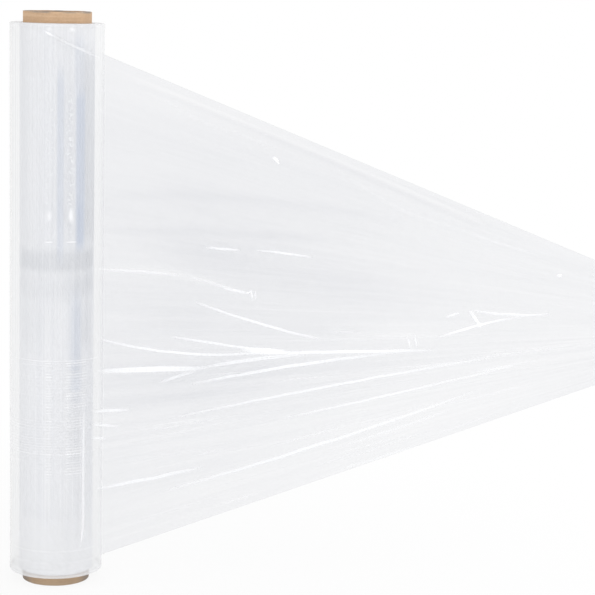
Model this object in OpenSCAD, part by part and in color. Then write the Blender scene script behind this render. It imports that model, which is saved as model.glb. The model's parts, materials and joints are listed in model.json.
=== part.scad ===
// A hand roll of stretch film, standing on its end.
//
// The film is wound on a paperboard core that stands out of it at both ends.
// Its outer turn leaves the front of the roll and is drawn off towards +X as a
// gathered web. The origin is on the core's axis, in the plane of its lower
// end, and +Z runs up the core. Lengths are in millimetres.

/* [Core] */
// Bore of the core, for a two inch mandrel
core_bore = 50.8; // [38:0.2:80]
// Wall of the core
core_wall = 5.1; // [2:0.1:10]
// How far the core stands out of the film at each end
core_stand_out = 10; // [4:0.5:30]
// Bevel on the outer edges of the core
core_bevel = 0.5; // [0.2:0.1:1]

/* [Winding] */
// Width of the film, and so the length of the winding
film_w = 500; // [350:5:600]
// Build of the winding, from the core's wall to its outer turn
film_build = 12; // [6:0.5:60]
// Radius of the winding's rounded shoulders
shoulder_r = 1.2; // [0.6:0.1:2]
// Depth of the hollow bands where the film is thinner
band_depth = 0.25; // [0.1:0.05:0.4]
// Number of those bands along the winding
band_count = 6; // [3:1:9]
// Height of the ridges that the turns leave on the end faces
turn_ridge = 0.4; // [0.2:0.1:0.8]
// Distance from one of those ridges to the next
turn_pitch = 3; // [2:0.5:6]

/* [Web] */
// Thickness of the drawn film, heavier than the real film so that it builds
web_t = 0.5; // [0.4:0.1:1]
// How far the web reaches from the core's axis
web_reach = 500; // [300:10:700]
// Width of the web at its far end
web_end_w = 110; // [60:1:240]
// Height of that end's middle above the lower face of the winding
web_end_mid = 235; // [180:1:320]
// How far the web's upper edge leaves the roll below the winding's top
web_top_drop = 13; // [6:1:40]
// How far the web's lower edge leaves the roll above the winding's foot
web_foot_rise = 5.5; // [4:0.5:40]
// Angle over which the web's start still lies on the roll
lap_angle = 12; // [6:1:30]
// How far the web stands proud of the roll where it lies on it
lap_proud = 0.2; // [0.15:0.05:0.3]

/* [Gathers] */
// Height of the tallest gather at the far end of the web
gather_h = 2.5; // [1:0.5:5]
// Depth of the hollows between the gathers there
hollow_d = 1; // [0.5:0.1:2]
// Stations along the web at which its section is drawn
web_stations = 24; // [12:1:30]
// Steps from a hollow to the crest of a gather
flank_steps = 3; // [2:1:4]

/* [Hidden] */
$fn = 96;

core_r = core_bore / 2 + core_wall;
core_l = film_w + 2 * core_stand_out;
film_r = core_r + film_build;
film_z = core_stand_out;
film_top = film_z + film_w;

// The gathers in order from the web's lower edge to its upper one. Each has its
// place across the web at the roll, halfway along and at the far end, from 0 at
// the lower edge to 1, then the shares of the reach at which it starts to rise
// and stands full, and its share of the full height.
GATHERS = [
    [0.02, 0.02, 0.04, 0.10, 0.60, 0.5],
    [0.07, 0.08, 0.13, 0.40, 0.80, 0.4],
    [0.12, 0.13, 0.22, 0.10, 0.70, 0.9],
    [0.19, 0.22, 0.29, 0.35, 0.80, 0.6],
    [0.25, 0.29, 0.36, 0.15, 0.65, 0.9],
    [0.32, 0.36, 0.42, 0.15, 0.55, 0.7],
    [0.39, 0.40, 0.47, 0.03, 0.45, 0.8],
    [0.46, 0.44, 0.52, 0.03, 0.35, 1.0],
    [0.54, 0.48, 0.57, 0.15, 0.60, 0.7],
    [0.60, 0.56, 0.63, 0.05, 0.90, 0.6],
    [0.67, 0.68, 0.70, 0.20, 0.80, 0.5],
    [0.76, 0.77, 0.78, 0.30, 0.90, 0.6],
    [0.86, 0.86, 0.86, 0.40, 1.00, 0.5],
    [0.97, 0.94, 0.94, 0.05, 0.70, 0.7],
];

core_colour = [0.80, 0.69, 0.57];
film_colour = [0.90, 0.92, 0.95];

function between(a, b, t) = a + (b - a) * t;
function eased(t) = let (c = max(0, min(1, t))) c * c * (3 - 2 * c);

// Core: a plain tube, cut square, with its outer edge eased.
module core_tube() {
    color(core_colour)
        rotate_extrude()
            translate([core_bore / 2, 0])
                polygon([
                    [0, 0],
                    [core_wall - core_bevel, 0],
                    [core_wall, core_bevel],
                    [core_wall, core_l - core_bevel],
                    [core_wall - core_bevel, core_l],
                    [0, core_l],
                ]);
}

// Radius of the winding at a height above its lower face: the thin bands of
// the film add up from turn to turn to shallow hollows round the roll.
function winding_r(h) =
    film_r - band_depth * (1 - cos(360 * band_count * h / film_w)) / 2;

// One quarter of a rounded shoulder, from the end face to the side.
function shoulder(top) = [
    for (a = [0:30:90])
        let (t = top ? 90 - a : a)
            [film_r - shoulder_r * (1 - sin(t)),
             top ? film_w - shoulder_r * (1 - cos(t)) : shoulder_r * (1 - cos(t))]
];

// Ridges on an end face, where the turns are wound a little off each other.
ridge_count = floor((film_r - shoulder_r - core_r) / turn_pitch);
function end_face(top) = [
    for (i = [0:ridge_count * 2 - 1])
        let (k = top ? ridge_count * 2 - 1 - i : i,
             h = turn_ridge * (k % 2))
            [core_r + turn_pitch * (k + 0.5) / 2, top ? film_w - h : h]
];

module winding() {
    side = [
        for (i = [1:band_count * 4 - 1])
            let (h = film_w * i / (band_count * 4))
                [winding_r(h), h]
    ];
    rotate_extrude()
        polygon(concat(
            [[core_r, 0]],
            end_face(false),
            shoulder(false),
            side,
            [for (i = [3:-1:0]) shoulder(true)[3 - i]],
            end_face(true),
            [[core_r, film_w]]
        ));
}

web_start = -film_r * lap_angle * PI / 180;
web_r = film_r + lap_proud - web_t / 2;

// Stations: a few round the lap, then evenly out to the far end.
lap_stations = 4;
STATIONS = concat(
    [for (i = [0:lap_stations - 1]) between(web_start, 0, i / lap_stations)],
    [for (i = [0:web_stations]) web_reach * pow(i / web_stations, 1.15)]
);

function web_top(s) =
    between(film_w - web_top_drop, web_end_mid + web_end_w / 2, s / web_reach);
function web_foot(s) =
    between(web_foot_rise, web_end_mid - web_end_w / 2, s / web_reach);

// Crests and hollows across the web, in order, each given like a gather, with
// a height of 0 for a hollow.
function hollow_after(i) =
    let (a = GATHERS[i], b = GATHERS[i + 1])
        [for (k = [0:2]) (a[k] + b[k]) / 2, 0, 1, 0];
last = len(GATHERS) - 1;
FOLDS = concat(
    [[0, 0, 0, 0, 1, 0]],
    [for (i = [0:last - 1]) each [GATHERS[i], hollow_after(i)]],
    [GATHERS[last], [1, 1, 1, 0, 1, 0]]
);

// Place of a fold across the web: a bow through its three places.
function bow(a, m, b, t) = a + (4 * m - 3 * a - b) * t + 2 * (a - 2 * m + b) * t * t;
function fold_at(f, s) = bow(f[0], f[1], f[2], max(0, s / web_reach));

// How far a fold stands off the plane of the web at a station.
function fold_h(f, s) =
    f[5] == 0
        ? -hollow_d * eased(s / web_reach)
        : gather_h * f[5] * eased((s / web_reach - f[3]) / (f[4] - f[3]));

// Rows from fold to fold: flat in the hollow and sharp at the crest.
function flank(a, b, t, s) =
    let (rising = b[5] > 0,
         w = rising ? t * t : (1 - t) * (1 - t),
         crest = rising ? b : a,
         hollow = rising ? a : b)
        [between(fold_at(a, s), fold_at(b, s), t),
         between(fold_h(hollow, s), fold_h(crest, s), w)];

function section(s) = concat(
    [for (i = [0:len(FOLDS) - 2], k = [0:flank_steps - 1])
        flank(FOLDS[i], FOLDS[i + 1], k / flank_steps, s)],
    [flank(FOLDS[len(FOLDS) - 2], FOLDS[len(FOLDS) - 1], 1, s)]
);

// A point of the web: s along it, p as [place across, height off], and side
// 1 for the face away from the roll or -1 for the face towards it.
function web_point(s, p, side) =
    let (off = web_r + p[1] + side * web_t / 2,
         turn = s < 0 ? s / film_r * 180 / PI : 0,
         z = between(web_foot(s), web_top(s), p[0]))
        [s < 0 ? off * sin(turn) : s, -off * cos(turn), z];

module web() {
    rows = len(section(0));
    cols = len(STATIONS);
    points = [
        for (side = [1, -1], s = STATIONS)
            let (across = section(s))
                for (p = across) web_point(s, p, side)
    ];
    function at(side, c, r) = (side * cols + c) * rows + r;
    function quad(a, b, c, d) = [[a, b, c], [a, c, d]];
    faces = concat(
        [for (c = [0:cols - 2], r = [0:rows - 2])
            each quad(at(0, c, r), at(0, c, r + 1), at(0, c + 1, r + 1), at(0, c + 1, r))],
        [for (c = [0:cols - 2], r = [0:rows - 2])
            each quad(at(1, c, r), at(1, c + 1, r), at(1, c + 1, r + 1), at(1, c, r + 1))],
        [for (c = [0:cols - 2])
            each quad(at(0, c, 0), at(0, c + 1, 0), at(1, c + 1, 0), at(1, c, 0))],
        [for (c = [0:cols - 2], r = [rows - 1])
            each quad(at(0, c, r), at(1, c, r), at(1, c + 1, r), at(0, c + 1, r))],
        [for (r = [0:rows - 2])
            each quad(at(0, 0, r), at(1, 0, r), at(1, 0, r + 1), at(0, 0, r + 1))],
        [for (r = [0:rows - 2], c = [cols - 1])
            each quad(at(0, c, r), at(0, c, r + 1), at(1, c, r + 1), at(1, c, r))]
    );
    polyhedron(points, faces, convexity = 12);
}

// The turns and the web are one strip, so they are one solid.
module film() {
    color(film_colour)
        translate([0, 0, film_z])
            union() {
                winding();
                web();
            }
}

core_tube();
film();
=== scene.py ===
"""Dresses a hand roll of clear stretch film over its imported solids.

The roll stands on the end of its paperboard core. The outer turn leaves the
front of the winding and is drawn off towards +X as a thin, creased web.
Lengths are in metres unless a name ends in _mm.
"""

from __future__ import annotations

import json
import logging
import math
import random
from dataclasses import dataclass
from enum import Enum
from functools import cache
from typing import Callable, Iterable, Sequence

import bmesh
import bpy
from mathutils import Matrix, Vector, noise

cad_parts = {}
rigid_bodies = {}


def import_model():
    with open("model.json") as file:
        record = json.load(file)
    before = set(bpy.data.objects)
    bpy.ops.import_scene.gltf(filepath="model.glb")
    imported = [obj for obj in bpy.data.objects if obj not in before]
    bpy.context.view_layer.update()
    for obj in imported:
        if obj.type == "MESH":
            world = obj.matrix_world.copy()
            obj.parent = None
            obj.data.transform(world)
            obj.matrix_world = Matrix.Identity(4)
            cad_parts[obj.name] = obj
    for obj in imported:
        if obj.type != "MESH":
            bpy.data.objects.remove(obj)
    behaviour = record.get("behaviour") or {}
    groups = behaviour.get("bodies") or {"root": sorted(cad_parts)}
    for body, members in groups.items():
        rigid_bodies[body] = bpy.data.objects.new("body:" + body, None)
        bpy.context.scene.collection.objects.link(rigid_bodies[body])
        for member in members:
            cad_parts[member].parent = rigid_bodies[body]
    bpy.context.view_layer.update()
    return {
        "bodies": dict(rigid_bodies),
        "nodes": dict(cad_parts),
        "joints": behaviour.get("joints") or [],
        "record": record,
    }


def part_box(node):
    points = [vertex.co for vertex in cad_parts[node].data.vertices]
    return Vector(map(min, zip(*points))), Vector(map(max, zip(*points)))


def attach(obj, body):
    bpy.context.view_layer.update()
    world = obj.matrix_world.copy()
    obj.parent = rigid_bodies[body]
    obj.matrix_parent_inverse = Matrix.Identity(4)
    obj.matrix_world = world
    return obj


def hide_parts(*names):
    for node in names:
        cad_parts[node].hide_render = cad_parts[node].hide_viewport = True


LOG = logging.getLogger("stretch_roll")
MM = 0.001
PLEAT_GLINT_LAYER = "white"
SHADE_LAYER = "shade"
DARK_REFLECTION_LAYER = "dark_surround_blue"
GLINT_LAYER = "glint"
GLINT_SPECK_LAYER = "glint_speck"
DENSE_LAYER = "cloud"
BODY = "root"

Socket = bpy.types.NodeSocket
Triple = tuple[float, float, float]
Colour = Triple
Mask = Callable[[Vector], float]
Marks = dict[str, Mask]
Shaper = Callable[[Vector], Vector]


class Slot(Enum):
    """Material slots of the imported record."""

    BOARD = "core_board"
    FILM = "stretch_film"


def eased(t: float) -> float:
    """Rises smoothly from 0 to 1 as t goes from 0 to 1."""
    t = min(max(t, 0.0), 1.0)
    return t * t * (3 - 2 * t)


def between(a: float, b: float, t: float) -> float:
    """The value a share t of the way from a to b."""
    return a + (b - a) * t


# Help with shaders


class Shade:
    """Adds shader nodes to a tree, one short call for each."""

    def __init__(self, tree: bpy.types.NodeTree) -> None:
        """Keeps the tree and empties it."""
        self.tree = tree
        tree.nodes.clear()

    def add(self, kind: str, **settings: object) -> bpy.types.Node:
        """Adds a node and sets its properties.

        Args:
            kind: The node's type.
            settings: Properties of the node, by name.

        Returns:
            The node.
        """
        node = self.tree.nodes.new(kind)
        for name, value in settings.items():
            setattr(node, name, value)
        return node

    def plug(self, socket: Socket, value: object) -> None:
        """Links a socket to another, or sets its value.

        Args:
            socket: The input that is fed.
            value: An output to link, or a plain value or colour.
        """
        if isinstance(value, Socket):
            self.tree.links.new(value, socket)
        elif isinstance(value, tuple) and len(value) == 3 and socket.type == "RGBA":
            socket.default_value = (*value, 1.0)
        else:
            socket.default_value = value

    def math(self, op: str, *args: object, clamp: bool = False) -> Socket:
        """Adds a Math node.

        Args:
            op: The operation.
            args: The values or sockets that it takes, up to three.
            clamp: Whether the result is kept between 0 and 1.

        Returns:
            The result.
        """
        node = self.add("ShaderNodeMath", operation=op, use_clamp=clamp)
        for socket, value in zip(node.inputs, args):
            self.plug(socket, value)
        return node.outputs[0]

    def times(self, *factors: object, clamp: bool = False) -> Socket:
        """Multiplies two or more values.

        Args:
            factors: The values or sockets.
            clamp: Whether the result is kept between 0 and 1.

        Returns:
            Their product.
        """
        product, *rest = factors
        for factor in rest:
            product = self.math("MULTIPLY", product, factor, clamp=clamp)
        return product

    def rerange(self, value: object, lo: float, hi: float, new_lo: float = 0.0,
                new_hi: float = 1.0, smooth: bool = True) -> Socket:
        """Maps a value from one range onto another and holds it there.

        Args:
            value: The value or socket.
            lo: Start of the range that is read.
            hi: End of that range, which may lie below its start.
            new_lo: What the start becomes.
            new_hi: What the end becomes.
            smooth: Whether the change eases in and out.

        Returns:
            The mapped value.
        """
        kind = "SMOOTHSTEP" if smooth else "LINEAR"
        node = self.add("ShaderNodeMapRange", interpolation_type=kind)
        for name, v in zip(("Value", "From Min", "From Max", "To Min", "To Max"),
                           (value, lo, hi, new_lo, new_hi)):
            self.plug(node.inputs[name], v)
        return node.outputs["Result"]

    def blend(self, share: object, a: object, b: object) -> Socket:
        """Mixes two colours.

        Args:
            share: How much of the second colour there is.
            a: The first colour.
            b: The second colour.

        Returns:
            The mixed colour.
        """
        node = self.add("ShaderNodeMix", data_type="RGBA")
        self.plug(node.inputs[0], share)
        self.plug(node.inputs[6], a)
        self.plug(node.inputs[7], b)
        return node.outputs[2]

    def stretch(self, vector: Socket, scale: Triple,
                shift: Triple = (0.0, 0.0, 0.0)) -> Socket:
        """Scales and shifts a vector.

        Args:
            vector: The vector.
            scale: Factor along each axis.
            shift: What is added along each axis.

        Returns:
            The new vector.
        """
        node = self.add("ShaderNodeMapping")
        self.plug(node.inputs["Vector"], vector)
        node.inputs["Scale"].default_value = scale
        node.inputs["Location"].default_value = shift
        return node.outputs["Vector"]

    def noise(self, vector: Socket, scale: float = 1.0, detail: float = 2.0,
              rough: float = 0.5) -> Socket:
        """Adds a Noise Texture.

        Args:
            vector: Where it is read.
            scale: How fine it is.
            detail: How many finer layers lie over it.
            rough: How strong those layers are.

        Returns:
            The noise, from 0 to 1.
        """
        node = self.add("ShaderNodeTexNoise")
        self.plug(node.inputs["Vector"], vector)
        node.inputs["Scale"].default_value = scale
        node.inputs["Detail"].default_value = detail
        node.inputs["Roughness"].default_value = rough
        return node.outputs[0]

    def object_point(self) -> Socket:
        """The shaded point in the piece's own coordinates."""
        return self.add("ShaderNodeTexCoord").outputs["Object"]

    def layer(self, name: str) -> Socket:
        """A mask that the mesh carries on its vertices."""
        return self.add("ShaderNodeAttribute", attribute_name=name).outputs["Fac"]

    def uv_point(self) -> Socket:
        """The shaded point in the piece's UV map."""
        return self.add("ShaderNodeTexCoord").outputs["UV"]

    def split(self, vector: Socket) -> Sequence[Socket]:
        """Takes a vector apart.

        Args:
            vector: The vector.

        Returns:
            Its three parts.
        """
        node = self.add("ShaderNodeSeparateXYZ")
        self.plug(node.inputs[0], vector)
        return node.outputs

    def join(self, x: object, y: object, z: object) -> Socket:
        """Makes a vector.

        Args:
            x: Its first part.
            y: Its second part.
            z: Its third part.

        Returns:
            The vector.
        """
        node = self.add("ShaderNodeCombineXYZ")
        for socket, value in zip(node.inputs, (x, y, z)):
            self.plug(socket, value)
        return node.outputs[0]

    def bump(self, height: Socket, strength: float, distance: float) -> Socket:
        """Adds a Bump node.

        Args:
            height: The relief.
            strength: How strongly it shows.
            distance: How high the relief stands, in metres.

        Returns:
            The bumped normal.
        """
        node = self.add("ShaderNodeBump")
        node.inputs["Strength"].default_value = strength
        node.inputs["Distance"].default_value = distance
        self.plug(node.inputs["Height"], height)
        return node.outputs[0]

    def group(self, tree: bpy.types.NodeTree, **values: object) -> bpy.types.Node:
        """Places a node group.

        Args:
            tree: The group.
            values: Its inputs by name, with _ for a space.

        Returns:
            The group's node.
        """
        node = self.add("ShaderNodeGroup", node_tree=tree)
        for name, value in values.items():
            self.plug(node.inputs[name.replace("_", " ")], value)
        return node

    def surface(self, **values: object) -> None:
        """Adds a Principled BSDF and wires it to the material's output.

        Args:
            values: Its inputs by name, with _ for a space.
        """
        shader = self.add("ShaderNodeBsdfPrincipled")
        for name, value in values.items():
            self.plug(shader.inputs[name.replace("_", " ")], value)
        out = self.add("ShaderNodeOutputMaterial")
        self.tree.links.new(shader.outputs[0], out.inputs["Surface"])


def new_material(name: str) -> tuple[bpy.types.Material, Shade]:
    """Makes an empty node material.

    Args:
        name: The material's name.

    Returns:
        The material, and the helper that fills its tree.
    """
    material = bpy.data.materials.new(name)
    material.use_nodes = True
    return material, Shade(material.node_tree)


@cache
def unrolled() -> bpy.types.NodeTree:
    """Makes the node group that lays the side of a roll out flat.

    It takes a point and puts out the angle from the roll's front in degrees,
    the height in metres, and both as a vector for noises.

    Returns:
        The node group.
    """
    tree = bpy.data.node_groups.new("unrolled", "ShaderNodeTree")
    s = Shade(tree)
    tree.interface.new_socket("Point", in_out="INPUT", socket_type="NodeSocketVector")
    for label, kind in (("Turn", "Float"), ("Height", "Float"), ("Flat", "Vector")):
        tree.interface.new_socket(label, in_out="OUTPUT", socket_type="NodeSocket" + kind)
    x, y, z = s.split(s.add("NodeGroupInput").outputs["Point"])[:3]
    turn = s.math("ARCTAN2", x, s.times(y, -1.0))
    sink = s.add("NodeGroupOutput").inputs
    s.plug(sink["Turn"], s.math("DEGREES", turn))
    s.plug(sink["Height"], z)
    s.plug(sink["Flat"], s.join(turn, z, 0.0))
    return tree


# Help with meshes


def finish_mesh(name: str, bm: bmesh.types.BMesh, smooth: bool = True) -> bpy.types.Object:
    """Turns a bmesh into an object at the origin.

    Args:
        name: The object's name.
        bm: The finished bmesh, which is freed.
        smooth: Whether its faces are shaded smooth or flat.

    Returns:
        The object.
    """
    mesh = bpy.data.meshes.new(name)
    bm.to_mesh(mesh)
    bm.free()
    for face in mesh.polygons:
        face.use_smooth = smooth
    piece = bpy.data.objects.new(name, mesh)
    bpy.context.scene.collection.objects.link(piece)
    return piece


def spun(name: str, outline: Sequence[tuple[float, float]], steps: int,
         shape: Shaper | None = None,
         marks: Marks | None = None) -> bpy.types.Object:
    """Spins a closed outline of radius and height round the Z axis.

    Args:
        name: The new object's name.
        outline: Radius and height of each corner, in order.
        steps: How many faces go round.
        shape: Moves each finished vertex, if it is given.
        marks: Masks for the vertices, by the name of their layer.

    Returns:
        The closed ring as an object.
    """
    bm = bmesh.new()
    verts = [bm.verts.new((r, 0.0, z)) for r, z in outline]
    edges = [bm.edges.new((verts[i - 1], verts[i])) for i in range(len(verts))]
    bmesh.ops.spin(bm, geom=verts + edges, cent=(0, 0, 0), axis=(0, 0, 1),
                   dvec=(0, 0, 0), angle=math.tau, steps=steps, use_merge=True)
    bmesh.ops.remove_doubles(bm, verts=bm.verts, dist=1e-6)
    if shape is not None:
        for vert in bm.verts:
            vert.co = shape(vert.co)
    for label, mark in (marks or {}).items():
        layer = bm.verts.layers.float.new(label)
        for vert in bm.verts:
            vert[layer] = mark(vert.co)
    bmesh.ops.recalc_face_normals(bm, faces=bm.faces)
    return finish_mesh(name, bm)


def dress(piece: bpy.types.Object, material: bpy.types.Material, slot: Slot) -> None:
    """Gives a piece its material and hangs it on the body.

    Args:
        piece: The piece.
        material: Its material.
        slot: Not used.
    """
    piece.data.materials.clear()
    piece.data.materials.append(material)
    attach(piece, BODY)
    LOG.info("%s: %d faces", piece.name, len(piece.data.polygons))


# Finishes


@dataclass(frozen=True)
class BoardFinish:
    """Kraft paperboard, wound in strips, with its plies bare on the cut ends."""

    face: Colour = (0.73, 0.50, 0.32)
    fibre: Colour = (0.56, 0.37, 0.225)
    cut: Colour = (0.56, 0.47, 0.37)
    seam: Colour = (0.36, 0.23, 0.14)
    # Painted shade for the core's foot.
    foot_shade: Colour = (0.33, 0.27, 0.20)
    light: Colour = (0.86, 0.66, 0.46)
    # Scuffs on the upper rim, and painted shade at both sides of the foot.
    scuff_and_shade: Colour = (0.27, 0.24, 0.22)
    roughness: float = 0.88
    strip_lead: float = 0.115
    seam_half: tuple[float, float] = (0.006, 0.016)
    ply: float = 0.0009
    foot_shade_to: float = 0.016
    side_shade_to: float = 0.011
    side_shade_span: tuple[float, float] = (0.018, 0.030)
    rim_band: tuple[float, float] = (0.0022, 0.0006)
    relief_height: float = 0.0002

    def seam_line(self, s: Shade, at: Socket) -> Socket:
        """Finds the seam between the outer strips, which climbs round the core.

        Args:
            s: The material's helper.
            at: The shaded point.

        Returns:
            A mask that is 1 on the seam.
        """
        x, y, z = s.split(at)[:3]
        turn = s.math("DIVIDE", s.math("ARCTAN2", y, x), math.tau)
        climb = s.math("FRACT", s.math("ADD", turn, s.math("DIVIDE", z, self.strip_lead)))
        off = s.math("ABSOLUTE", s.math("SUBTRACT", climb, 0.5))
        return s.rerange(off, *self.seam_half, 1.0, 0.0)

    def ply_rings(self, s: Shade, at: Socket) -> Socket:
        """Finds the board's plies, as rings round the core's axis.

        Args:
            s: The material's helper.
            at: The shaded point.

        Returns:
            A wave from -1 to 1, one for each ply.
        """
        x, y = s.split(at)[:2]
        squares = s.math("ADD", s.times(x, x), s.times(y, y))
        return s.math("SINE", s.times(s.math("SQRT", squares), math.tau / self.ply))

    def side(self, s: Shade, at: Socket, fine: Socket, line: Socket) -> Socket:
        """Colours the core's side: fibres, clouds, the seam and faint level streaks.

        Args:
            s: The material's helper.
            at: The shaded point.
            fine: The noise of the fibres.
            line: The mask of the seam.

        Returns:
            The colour.
        """
        cloud = s.noise(at, 45.0, detail=3.0)
        colour = s.blend(s.rerange(fine, 0.35, 0.7), self.face, self.fibre)
        colour = s.blend(s.rerange(cloud, 0.3, 0.75, 0.0, 0.35), colour, self.seam)
        colour = s.blend(s.times(line, 0.55), colour, self.seam)
        level = s.noise(s.stretch(at, (14.0, 14.0, 620.0)), rough=0.6)
        colour = s.blend(s.rerange(level, 0.48, 0.68, 0.0, 0.34), colour, self.fibre)
        return s.blend(s.rerange(level, 0.50, 0.32, 0.0, 0.20), colour, self.light)

    def cut_end(self, s: Shade, at: Socket, fine: Socket, rings: Socket) -> Socket:
        """Colours the core's cut ends: plies, torn fibres and knocks.

        Args:
            s: The material's helper.
            at: The shaded point.
            fine: The noise of the fibres.
            rings: The wave of the plies.

        Returns:
            The colour.
        """
        colour = s.blend(s.rerange(rings, -0.2, 0.9, 0.0, 0.5), self.cut, self.fibre)
        colour = s.blend(s.rerange(fine, 0.4, 0.75, 0.0, 0.7), colour, self.seam)
        knocks = s.noise(at, 95.0)
        return s.blend(s.rerange(knocks, 0.55, 0.68, 0.0, 0.6), colour, self.seam)

    def worn(self, s: Shade, at: Socket, colour: Socket) -> Socket:
        """Paints shade on the core's foot, darker towards the bottom and at both sides, and
        scuffs its upper rim.

        Args:
            s: The material's helper.
            at: The shaded point.
            colour: The clean board's colour.

        Returns:
            The colour with the painted shade and the scuffs.
        """
        x, _, z = s.split(at)[:3]
        # Painted shade: the board darkens towards its foot.
        colour = s.blend(s.rerange(z, 0.0, self.foot_shade_to, 0.52, 0.0), colour, self.foot_shade)
        # Painted shade: darker at both sides of the foot.
        aside = s.rerange(s.math("ABSOLUTE", x), *self.side_shade_span, 0.0, 0.75)
        low = s.rerange(z, 0.004, self.side_shade_to, 1.0, 0.0)
        colour = s.blend(s.times(aside, low), colour, self.scuff_and_shade)
        # Scuffs where the upper rim was knocked.
        dents = s.noise(s.stretch(at, (1.0, 1.0, 0.0), (0.4, 0.1, 0.0)), 48.0, detail=1.0)
        rim = s.rerange(z, *(Roll.core_top - below for below in self.rim_band))
        rim = s.times(rim, s.rerange(dents, 0.44, 0.60, 0.0, 0.8))
        return s.blend(rim, colour, self.scuff_and_shade)

    def material(self) -> bpy.types.Material:
        """Builds the board's material.

        Returns:
            The material.
        """
        material, s = new_material("kraft_board")
        at = s.object_point()
        fine = s.noise(s.stretch(at, (1.0, 1.0, 2.4)), 900.0, detail=4.0, rough=0.65)
        line, rings = self.seam_line(s, at), self.ply_rings(s, at)
        normal = s.add("ShaderNodeNewGeometry").outputs["Normal"]
        end = s.rerange(s.math("ABSOLUTE", s.split(normal)[2]), 0.35, 0.8)
        colour = s.blend(end, self.side(s, at, fine, line),
                         self.cut_end(s, at, fine, rings))
        relief = s.math("ADD", s.times(fine, 0.7), s.times(line, -1.2))
        plies = s.times(rings, end, 0.4)
        relief = s.math("ADD", relief, plies)
        s.surface(Base_Color=self.worn(s, at, colour), Roughness=self.roughness,
                  Normal=s.bump(relief, strength=0.5, distance=self.relief_height))
        return material


@dataclass(frozen=True)
class DenseFilmFinish:
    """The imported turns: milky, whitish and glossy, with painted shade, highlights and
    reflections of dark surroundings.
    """

    body: Colour = (0.905, 0.912, 0.940)
    streak: Colour = (0.73, 0.75, 0.80)
    # Used for whitish hairlines and for the painted highlights.
    hair_and_highlight: Colour = (0.985, 0.985, 0.99)
    # Painted shade and painted reflection of dark surroundings.
    shade_and_reflection_grey: Colour = (0.60, 0.62, 0.66)
    # Painted reflection of dark surroundings.
    dark_surround_blue: Colour = (0.40, 0.50, 0.70)
    roughness: float = 0.5
    hair_from: float = 0.18
    hair_to: float = 0.24
    hair_strength: float = 0.19

    def material(self) -> bpy.types.Material:
        """Builds the dense film's material.

        Returns:
            The material.
        """
        material, s = new_material("packed_film")
        place = s.group(unrolled(), Point=s.object_point()).outputs
        flat = place["Flat"]
        broad = s.noise(s.stretch(flat, (5.0, 1.0, 1.0)), detail=3.0, rough=0.6)
        thin = s.noise(s.stretch(flat, (16.0, 0.7, 1.0), (3.0, 0.0, 0.0)))
        hair = s.noise(s.stretch(flat, (23.0, 0.9, 1.0), (9.0, 0.0, 0.0)), detail=1.0)
        colour = s.blend(s.rerange(broad, 0.42, 0.7, 0.0, 0.35), self.body, self.streak)
        colour = s.blend(s.rerange(thin, 0.45, 0.70, 0.0, 0.28), colour, self.streak)
        risen = s.rerange(place["Height"], self.hair_from, self.hair_to, 0.4, 1.0)
        hairs = s.times(s.rerange(hair, 0.50, 0.70, 0.0, self.hair_strength), risen)
        colour = s.blend(hairs, colour, self.hair_and_highlight)
        uneven = s.rerange(thin, 0.3, 0.65, 0.8, 1.0)
        # Painted shade and painted reflection of dark surroundings, in duller columns and
        # rings.
        colour = s.blend(s.times(s.layer(SHADE_LAYER), uneven), colour, self.shade_and_reflection_grey)
        # Painted reflection of dark surroundings, in bluish columns.
        colour = s.blend(s.times(s.layer(DARK_REFLECTION_LAYER), uneven), colour, self.dark_surround_blue)
        # Painted highlights: lit columns, lines under the ridges and a lighter foot.
        colour = s.blend(s.layer(GLINT_LAYER), colour, self.hair_and_highlight)
        s.surface(Base_Color=colour, Roughness=self.roughness, Coat_Weight=0.1,
                  Coat_Roughness=0.25, Normal=s.bump(thin, strength=0.08, distance=0.0004))
        return material


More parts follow.
